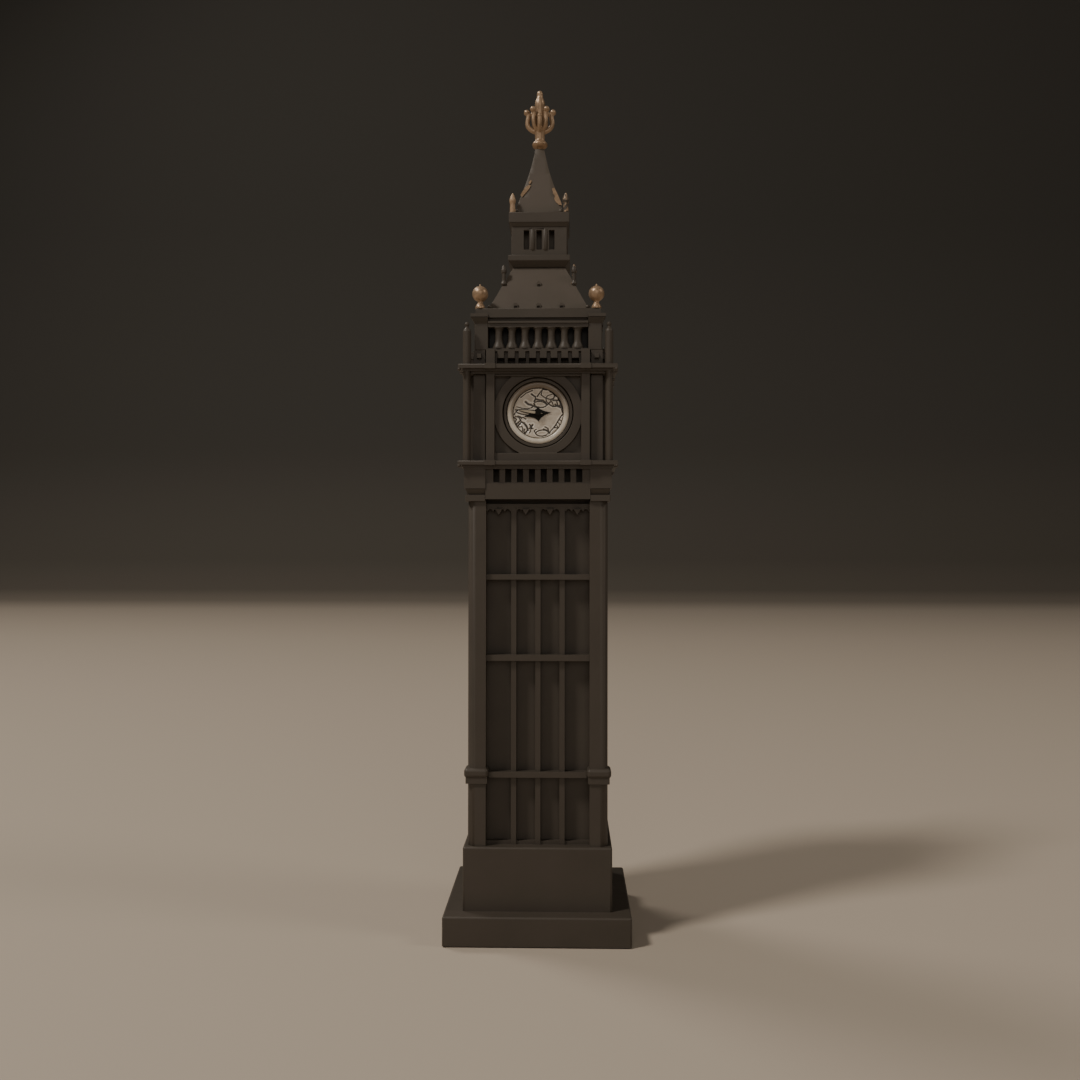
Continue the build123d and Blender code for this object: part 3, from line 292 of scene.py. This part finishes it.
GOLD = gilded("gold_paint_satin", (0.22, 0.145, 0.085), scale=1100, low=0.30, high=0.36)
FINIAL_GOLD = gilded("gold_paint_finial", (0.18, 0.12, 0.07), scale=900, low=0.24, high=0.30,
                     band=(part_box("finial")[1][2] - 21.6 * MM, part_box("finial")[1][2] - 18.3 * MM))
RUBBED_GOLD = gilded("gold_paint_rubbed", BRONZE_TONES[1], scale=700, low=0.50, high=0.56, corner="rubbed")
TRACE_GOLD = gilded("gold_paint_traces", BRONZE_TONES[1], scale=600, low=0.58, high=0.63, corner="traces")
STEEL = painted("zinc_plated_steel", (0.45, 0.45, 0.44), (0.55, 0.55, 0.54), (0.62, 0.62, 0.6), metallic=1.0)
BRASS = painted("brass_wheel", (0.62, 0.45, 0.2), (0.72, 0.54, 0.26), (0.8, 0.62, 0.32), rough=(0.2, 0.35),
                metallic=1.0)
PLASTIC = painted("black_moulding", (0.012, 0.012, 0.012), (0.018, 0.018, 0.018), (0.025, 0.025, 0.025))
RUBBER = painted("grip_ring_rubber", (0.05, 0.05, 0.047), (0.07, 0.07, 0.065), (0.09, 0.09, 0.084),
                 rough=(0.6, 0.75))
BAIZE = painted("baize_green", (0.012, 0.03, 0.018), (0.018, 0.042, 0.026), (0.026, 0.056, 0.034),
                rough=(0.9, 1.0), grain=0.0003)
BLACK = painted("hand_enamel_black", (0.006, 0.005, 0.004), (0.008, 0.007, 0.005), (0.011, 0.009, 0.007),
                rough=(0.3, 0.4), specular=0.12)
CREAM = painted("dial_cream", (0.40, 0.34, 0.25), (0.44, 0.38, 0.28), (0.48, 0.42, 0.32), rough=(0.25, 0.4),
                cloud_scale=500)


def rim_metal(name):
    """Cream enamel with painted shade: it turns dark brown towards the top of each rim."""
    mat = painted(name, (0.58, 0.525, 0.44), (0.66, 0.605, 0.52), (0.74, 0.69, 0.60), rough=(0.16, 0.28),
                  cloud_scale=400)
    nodes, links, bsdf = mat.node_tree.nodes, mat.node_tree.links, mat.node_tree.nodes["Principled BSDF"]
    coords = nodes.new("ShaderNodeTexCoord")
    split = nodes.new("ShaderNodeSeparateXYZ")
    links.new(coords.outputs["Object"], split.inputs[0])
    low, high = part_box("bezel")
    rise = math_node(nodes, links, "DIVIDE", math_node(nodes, links, "SUBTRACT", split.outputs["Z"], low[2]),
                     high[2] - low[2])
    cream = bsdf.inputs["Base Color"].links[0].from_socket
    # painted shade: the rim's upper part mixed towards dark brown
    brown = ramp(nodes, links, rise, [(0.40, (0, 0, 0)), (0.75, (0.8, 0.8, 0.8)), (1.0, (0.97, 0.97, 0.97))])
    links.new(mix_color(nodes, links, brown.outputs["Color"], cream, (0.17, 0.13, 0.095)),
              bsdf.inputs["Base Color"])
    return mat


RIM = rim_metal("bezel_cream_metal")


def crackled(name, cloth, groove, lip, rough):
    """Glossy cream enamel with dark paint in the grooves and a paler painted highlight on the lips beside
    them; the groove colour also paints the shade round the dial's rim.
    """
    mat = painted(name, *cloth, rough=rough, cloud_scale=500, grain=0.00001)
    nodes, links, bsdf = mat.node_tree.nodes, mat.node_tree.links, mat.node_tree.nodes["Principled BSDF"]
    relief = nodes.new("ShaderNodeAttribute")
    relief.attribute_name = "relief"
    parts = nodes.new("ShaderNodeSeparateColor")
    links.new(relief.outputs["Color"], parts.inputs["Color"])
    plain = bsdf.inputs["Base Color"].links[0].from_socket
    lit = mix_color(nodes, links, parts.outputs["Green"], plain, lip)
    links.new(mix_color(nodes, links, parts.outputs["Red"], lit, groove), bsdf.inputs["Base Color"])
    return mat


# the third colour is the painted highlight on the groove lips
CRACKLE = crackled("dial_crackle", ((0.47, 0.41, 0.34), (0.54, 0.475, 0.395), (0.61, 0.54, 0.455)),
                   (0.022, 0.016, 0.011), (0.86, 0.81, 0.73), (0.15, 0.28))
BY_SLOT = {"bronze_paint": BRONZE, "gold_paint": GOLD, "bezel_paint": RIM, "dial_card": CREAM,
           "hand_black": BLACK,
           "steel": STEEL, "brass": BRASS, "black_plastic": PLASTIC, "clear_rubber": RUBBER, "baize": BAIZE}


def dress_cad_nodes():
    slots = {s["node"]: s["material_slot"] for s in frame["record"]["subparts"]}
    for name, node in frame["nodes"].items():
        node.data.materials.clear()
        node.data.materials.append(BY_SLOT[slots[name]])
    for name, mat in (("belfry_core", CORE_PAINTED_SHADE), ("lower_roof", ROOF_BRONZE), ("spire", ROOF_BRONZE),
                      ("finial", FINIAL_GOLD),
                      ("lantern_pinnacles", RUBBED_GOLD), ("roof_pinnacles", TRACE_GOLD)):
        frame["nodes"][name].data.materials[0] = mat


def welded(name):
    """A CAD node with its split vertices joined, so that the next modifier sees whole edges."""
    node = frame["nodes"][name]
    weld = node.modifiers.new("weld", "WELD")
    weld.merge_threshold = 2e-6
    return node


def soften(name, width):
    """Rounds a casting's sharp edges a little, as a mould and a coat of paint do."""
    bevel = welded(name).modifiers.new("bevel", "BEVEL")
    bevel.width = width
    bevel.segments = 2
    bevel.limit_method = "ANGLE"
    bevel.angle_limit = math.radians(38)
    bevel.harden_normals = True


def melt(name, voxel, passes):
    """Blends a gilded piece's members into each other, as thick paint over a small casting does."""
    node = welded(name)
    remesh = node.modifiers.new("remesh", "REMESH")
    remesh.mode = "VOXEL"
    remesh.voxel_size = voxel
    remesh.use_smooth_shade = True
    smooth = node.modifiers.new("smooth", "SMOOTH")
    smooth.factor = 0.6
    smooth.iterations = passes


dress_cad_nodes()
# Bevel widths in millimetres.
EDGES = {"base_slab": 0.25, "base_block": 0.25, "corbel_band": 0.28, "pier_capitals": 0.22,
         "lower_ledge": 0.25, "upper_ledge": 0.25, "clock_case": 0.25, "dentil_course": 0.2,
         "belfry_piers": 0.28, "roof_cornice": 0.28, "lower_roof": 0.2, "lantern_base": 0.3,
         "lantern_body": 0.18, "lantern_cornice": 0.25, "spire": 0.22}
for corner in ("front_left", "front_right", "back_left", "back_right"):
    EDGES["corner_pier_" + corner] = 0.25
for side in ("front", "right", "back", "left"):
    EDGES["tracery_" + side] = 0.3
    EDGES["clock_frame_" + side] = 0.28
    EDGES["balustrade_" + side] = 0.22
for name, width in EDGES.items():
    soften(name, width * MM)
melt("finial", 0.11 * MM, 4)
melt("ball_finials", 0.12 * MM, 2)
melt("lantern_pinnacles", 0.10 * MM, 3)
melt("roof_pinnacles", 0.10 * MM, 3)


# ---- clock faces: a glossy rim, a crackled relief dial and hands --------------------------------
def mm_box(node):
    """A CAD node's box in millimetres."""
    low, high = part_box(node)
    return [v / MM for v in low], [v / MM for v in high]


DIAL_LOW, DIAL_HIGH = mm_box("dial")
RIM_LOW, RIM_HIGH = mm_box("bezel")
DIAL_RADIUS, RIM_RADIUS = DIAL_HIGH[0], RIM_HIGH[0]
CLOCK_Z = (DIAL_LOW[2] + DIAL_HIGH[2]) / 2
DIAL_FACE, DIAL_BACK = -DIAL_LOW[1], -DIAL_HIGH[1]
RIM_FACE, BARREL_BACK = -RIM_LOW[1], -RIM_HIGH[1]
BARREL_RADIUS, BARREL_BORE, PIPE_HOLE = 9.3, 8.95, 0.95
SIDE_TURNS = (90, 180, 270)


def on_face(turn):
    """Takes (right, up, outward) on a clock face, in millimetres from its centre, to metres in the frame."""
    face = Matrix(((1, 0, 0, 0), (0, 0, -1, 0), (0, 1, 0, CLOCK_Z), (0, 0, 0, 1)))
    return Matrix.Scale(MM, 4) @ Matrix.Rotation(math.radians(turn), 4, "Z") @ face


def piece(name, bm, material, body, turns=(0,), smooth=True):
    """Makes one piece from a mesh drawn on a clock face, copied to the faces at these turns."""
    mesh = bpy.data.meshes.new(name)
    bmesh.ops.recalc_face_normals(bm, faces=bm.faces)
    whole = bmesh.new()
    for turn in turns:
        bm.to_mesh(mesh)
        mesh.transform(on_face(turn))
        whole.from_mesh(mesh)
    whole.to_mesh(mesh)
    whole.free()
    bm.free()
    if smooth:
        mesh.shade_smooth()
    mesh.materials.append(material)
    obj = bpy.data.objects.new(name, mesh)
    SCENE.collection.objects.link(obj)
    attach(obj, body)
    return obj


def skin_rings(bm, rings):
    """Faces between successive closed rings of vertices."""
    for a, b in zip(rings, rings[1:]):
        for i in range(len(a)):
            j = (i + 1) % len(a)
            bm.faces.new((a[i], a[j], b[j], b[i]))


def rim_mesh(barrel):
    """A rounded, slightly uneven ring, with the insert's barrel behind it or without."""
    inner = DIAL_RADIUS + 0.02
    profile = [(inner, DIAL_BACK), (inner, DIAL_FACE), (DIAL_RADIUS + 0.1, DIAL_FACE + 0.3)]
    for i in range(11):
        a = math.pi * i / 10
        middle, half = (RIM_RADIUS + DIAL_RADIUS) / 2 + 0.08, (RIM_RADIUS - DIAL_RADIUS) / 2 - 0.1
        profile.append((middle - half * math.cos(a), RIM_FACE - 0.55 + 0.5 * math.sin(a)))
    profile += [(RIM_RADIUS, DIAL_FACE), (RIM_RADIUS, DIAL_BACK)]
    if barrel:
        profile += [(BARREL_RADIUS, DIAL_BACK), (BARREL_RADIUS, BARREL_BACK), (BARREL_BORE, BARREL_BACK)]
        profile += [(BARREL_BORE, DIAL_BACK)]
    bm = bmesh.new()
    spokes = 160
    rings = []
    for radius, out in profile:
        ring = []
        for i in range(spokes):
            a = TAU * i / spokes
            wave = 0.0
            if out > DIAL_FACE + 0.2:
                wave = 0.10 * mnoise.noise(Vector((2.3 * math.cos(a), 2.3 * math.sin(a), radius * 0.6)))
            spread = radius + (wave * 0.6 if radius < RIM_RADIUS - 0.3 else min(0, wave * 0.6))
            ring.append(bm.verts.new((spread * math.cos(a), spread * math.sin(a), min(out + wave, RIM_FACE))))
        rings.append(ring)
    skin_rings(bm, rings + rings[:1])
    return bm


def oval(x, y, wide, high, lean, start=0, sweep=360, steps=12):
    """Points round an oval, in millimetres; lean turns it, in degrees, towards the left."""
    c, s = math.cos(math.radians(lean)), math.sin(math.radians(lean))
    points = []
    for i in range(steps + 1):
        a = math.radians(start + sweep * i / steps)
        u, v = wide * math.cos(a), high * math.sin(a)
        points.append((x + c * u - s * v, y + s * u + c * v))
    return points


LINE = 1.6  # multiplies every groove's half width
# Each groove is (half width, points), in millimetres from the dial's centre.
GROOVES = [
    (0.13, [(1.7, 8.3), (0.8, 7.3), (-0.3, 5.8)]),
    (0.15, [(1.7, 8.3), (2.7, 8.1), (3.6, 8.2), (4.2, 7.4), (4.9, 7.1), (5.7, 6.1), (6.9, 5.7)]),
    (0.13, [(5.7, 6.1), (5.9, 6.7)]),
    (0.11, [(1.3, 7.6), (1.0, 6.3), (2.4, 5.3), (4.2, 4.7), (4.9, 3.6), (5.3, 2.4)]),
    (0.14, [(4.2, 4.7), (5.2, 5.0), (5.8, 6.1)]),
    (0.16, [(5.1, 4.5), (6.2, 4.4), (7.1, 4.4)]),
    (0.20, [(5.9, 2.9), (6.8, 2.4), (7.9, 1.9)]),
    (0.12, [(6.4, 3.9), (6.9, 2.6)]),
    (0.14, [(-2.4, 6.6), (-1.0, 5.6), (-0.8, 4.9)]),
    (0.12, [(-1.1, 3.0), (-2.3, 1.9)]),
    (0.13, [(-7.8, -1.1), (-6.6, -1.5), (-5.9, -2.6), (-6.9, -3.2), (-7.6, -4.3)]),
    (0.12, [(-6.6, -1.5), (-5.1, -1.5), (-4.2, -2.1)]),
    (0.20, [(-4.8, -3.5), (-3.8, -4.9), (-3.5, -5.9), (-4.5, -7.0)]),
    (0.15, [(-2.9, -4.0), (-2.2, -4.6), (-2.3, -5.4)]),
    (0.13, [(2.4, -4.8), (3.4, -5.3), (3.7, -6.6)]),
    (0.16, [(6.9, 5.7), (7.0, 4.6), (7.6, 3.9), (7.7, 2.9), (8.3, 2.2), (8.2, 1.2), (8.5, 0.2)]),
    (0.13, [(-2.2, 6.7), (-1.5, 6.0), (-0.9, 5.8)]),
    (0.17, [(-1.3, 4.1), (-0.9, 4.9), (0.6, 4.5), (1.7, 4.4), (2.9, 3.3)]),
    (0.12, oval(0.7, 3.0, 2.2, 1.05, -6)),
    (0.20, [(-4.3, 3.9), (-3.4, 3.1), (-2.2, 2.8)]),
    (0.12, [(-2.2, 2.8), (-1.3, 2.2), (-0.2, 1.9)]),
    (0.14, [(4.2, 3.9), (3.6, 3.2), (2.9, 2.7)]),
    (0.10, [(4.8, 6.5), (3.3, 6.1), (2.7, 5.3), (2.8, 4.2), (4.0, 2.9)]),
    (0.14, [(4.0, 2.9), (5.0, 2.3), (5.9, 2.3), (7.2, 2.5), (8.0, 2.9)]),
    (0.14, [(5.3, -5.2), (6.2, -4.0), (7.2, -2.2), (8.1, -0.9), (8.6, -0.4)]),
    (0.11, [(6.1, -4.1), (6.7, -4.6), (6.9, -5.3)]),
    (0.11, [(6.7, -3.2), (7.3, -3.7), (7.6, -4.3)]),
    (0.11, [(7.3, -2.2), (7.8, -2.6), (8.2, -2.9)]),
    (0.12, [(4.0, -6.7), (4.5, -6.0), (5.3, -5.2), (6.1, -5.0), (6.9, -5.3)]),
    (0.17, [(1.9, -5.6), (3.0, -6.0), (4.0, -6.9)]),
    (0.12, oval(1.4, -6.9, 2.2, 1.05, 4)),
    (0.18, [(-7.3, -4.8), (-6.3, -3.8), (-5.6, -3.1), (-4.8, -3.5), (-3.9, -4.5)]),
    (0.12, [(-5.6, -3.1), (-6.2, -2.5)]),
    (0.13, [(-7.0, -5.2), (-6.3, -5.9), (-5.5, -6.7)]),
    (0.15, [(-4.7, -6.9), (-4.9, -6.2), (-4.6, -5.6)]),
    (0.19, [(-2.6, -4.8), (-1.9, -4.1)]),
    (0.13, [(-3.6, -5.6), (-2.6, -5.2), (-1.7, -5.4)]),
    (0.13, [(-0.9, -7.0), (-1.3, -6.2), (-0.7, -5.7)]),
    (0.10, [(-3.0, -6.9), (-2.5, -6.2), (-2.7, -5.7)]),
    (0.14, [(-8.3, -0.5), (-7.6, 0.4), (-7.0, 1.0)]),
    (0.13, [(-8.4, -1.4), (-7.4, -2.1), (-8.0, -3.2)]),
    (0.11, [(-7.0, -1.0), (-6.0, -1.3), (-5.6, -2.1)]),
    (0.11, [(-1.9, 7.9), (-4.2, 6.9), (-6.0, 5.4)]),
    (0.09, [(-7.4, 2.2), (-5.6, 1.7), (-3.6, 1.5), (-2.0, 1.9)]),
    (0.12, [(-7.7, 0.4), (-5.9, -0.3), (-4.3, -0.6), (-2.6, -1.0)]),
    (0.12, [(-7.9, 1.1), (-5.8, 1.1), (-3.2, 0.7), (-1.6, 0.9)]),
    (0.11, [(-8.0, -3.9), (-7.2, -3.4), (-6.5, -3.6)]),
    (0.11, [(-6.6, -4.9), (-5.6, -4.6), (-5.2, -5.4), (-5.5, -6.7)]),
]
SEGMENTS = [(half * LINE, a, b) for half, points in GROOVES for a, b in zip(points, points[1:])]


def groove_depth(spots):
    """(how deep in a groove, how near its lip), each from 0 to 1, for points given as an array of (x, y)."""
    deep, lip = np.zeros(len(spots)), np.zeros(len(spots))
    for half, a, b in SEGMENTS:
        a, along = np.array(a), np.subtract(b, a)
        share = np.clip((spots - a) @ along / (along @ along), 0, 1)
        gap = np.linalg.norm(spots - a - share[:, None] * along, axis=1) / half
        deep = np.maximum(deep, np.clip(1.5 - gap, 0, 1))
        lip = np.maximum(lip, np.clip(1.0 - np.abs(gap - 2.1) / 1.1, 0, 1))
    return deep, lip * (1 - deep)


def dial_mesh(rings, spokes, bore):
    """A domed, crackled disc. Its colour layer holds groove depth and a painted shade round the rim in red,
    and the lip, which takes a painted highlight, in green.
    """
    bm = bmesh.new()
    layer = bm.verts.layers.float_color.new("relief")
    angles = np.arange(spokes) * TAU / spokes
    circle = np.stack([np.cos(angles), np.sin(angles)], axis=1)
    skins = []
    for radius in np.linspace(bore, DIAL_RADIUS, rings + 1):
        # near the rim the disc dips and is painted groove-dark: painted shade in the gap under the rim
        edge = min(1.0, max(0.0, (radius - DIAL_RADIUS + 0.32) / 0.2))
        ring = []
        for (x, y), deep, lip in zip(circle * radius, *groove_depth(circle * radius)):
            swell = 0.10 * mnoise.noise(Vector((x * 0.55, y * 0.55, 3.0)))
            vert = bm.verts.new((x, y, DIAL_FACE - 0.10 + swell - 0.2 * deep + 0.05 * lip - 0.2 * edge))
            vert[layer] = (max(deep, edge), lip, 0, 1)
            ring.append(vert)
        skins.append(ring)
    for radius in (DIAL_RADIUS, bore):
        ring = [bm.verts.new((x, y, DIAL_BACK)) for x, y in circle * radius]
        # the disc's side and back are painted groove-dark too: painted shade under the rim
        for vert in ring:
            vert[layer] = (1, 0, 0, 1)
        skins.append(ring)
    skin_rings(bm, skins + skins[:1])
    return bm


def clock_angle(angle, x, y):
    """A point of a hand drawn upright, turned clockwise from twelve."""
    a = -math.radians(angle)
    return x * math.cos(a) - y * math.sin(a), x * math.sin(a) + y * math.cos(a)


def slab(bm, outline, back, front, ridge=0.0, hub=(0, 0)):
    """A flat blade between two levels, rising from its edge to its hub by ridge."""
    low = [bm.verts.new((x, y, back)) for x, y in outline]
    high = [bm.verts.new((x, y, front - ridge)) for x, y in outline]
    peak = bm.verts.new((*hub, front))
    floor = bm.verts.new((*hub, back))
    skin_rings(bm, [low, high])
    for i in range(len(outline)):
        j = (i + 1) % len(outline)
        bm.faces.new((high[i], high[j], peak))
        bm.faces.new((low[j], low[i], floor))


def swept(tips, hollows, steps=6):
    """A star's outline, with a hollow curve from each tip to the next."""
    outline = []
    for i, tip in enumerate(tips):
        bend, end = hollows[i], tips[(i + 1) % len(tips)]
        for k in range(steps):
            s = k / steps
            outline.append(tuple((1 - s) ** 2 * p + 2 * s * (1 - s) * q + s * s * r
                                 for p, q, r in zip(tip, bend, end)))
    return outline


HOUR_ANGLE, MINUTE_ANGLE = 88.0, 278.5
STAR = swept([(0, 4.5), (3.0, 0.1), (1.2, -5.1), (-2.1, 0.0)],
             [(0.9, 0.9), (1.0, -1.0), (-0.5, -1.3), (-0.7, 1.0)])
LEAF = swept([(0, -2.0), (0.7, 2.4), (0, 8.0), (-0.7, 2.4)],
             [(0.45, -0.4), (0.72, 4.4), (-0.72, 4.4), (-0.45, -0.4)])


def turned_hand(outline, angle, scale=1.0):
    return [clock_angle(angle, x * scale, y * (1 - (1 - scale) * 0.35)) for x, y in outline]


def levels(node):
    """How far in front of the tower's axis a node starts and ends, in millimetres."""
    low, high = mm_box(node)
    return -high[1], -low[1]


def make_clocks():
    rim = piece("clock_rim", rim_mesh(True), RIM, "clock_insert")
    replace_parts(rim, "bezel")
    face = piece("clock_dial", dial_mesh(64, 300, PIPE_HOLE), CRACKLE, "clock_insert")
    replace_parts(face, "dial")
    blanks = piece("side_dials", dial_mesh(44, 200, 0.3), CRACKLE, "tower", SIDE_TURNS)
    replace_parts(blanks, "fixed_dials")
    piece("side_rims", rim_mesh(False), RIM, "tower", SIDE_TURNS)
    back, front = levels("hour_hand")
    star = bmesh.new()
    slab(star, turned_hand(STAR, HOUR_ANGLE), back, front, 0.12)
    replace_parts(piece("hour_star", star, BLACK, "hour_pipe", smooth=False), "hour_hand")
    back, front = levels("minute_hand")
    leaf = bmesh.new()
    slab(leaf, turned_hand(LEAF, MINUTE_ANGLE), back, front - 0.08)
    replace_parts(piece("minute_leaf", leaf, BLACK, "minute_arbor", smooth=False), "minute_hand")
    inlay = bmesh.new()
    slab(inlay, turned_hand(LEAF, MINUTE_ANGLE, 0.62), front - 0.12, front, 0.04)
    piece("minute_inlay", inlay, CREAM, "minute_arbor", smooth=False)
    hands = bmesh.new()
    slab(hands, turned_hand(STAR, HOUR_ANGLE), DIAL_FACE - 0.2, DIAL_FACE + 0.25, 0.1)
    slab(hands, turned_hand(LEAF, MINUTE_ANGLE), DIAL_FACE + 0.05, DIAL_FACE + 0.45)
    piece("side_hands", hands, BLACK, "tower", SIDE_TURNS, smooth=False)
    inlay = bmesh.new()
    slab(inlay, turned_hand(LEAF, MINUTE_ANGLE, 0.62), DIAL_FACE + 0.4, DIAL_FACE + 0.55, 0.04)
    piece("side_inlays", inlay, CREAM, "tower", SIDE_TURNS, smooth=False)


make_clocks()
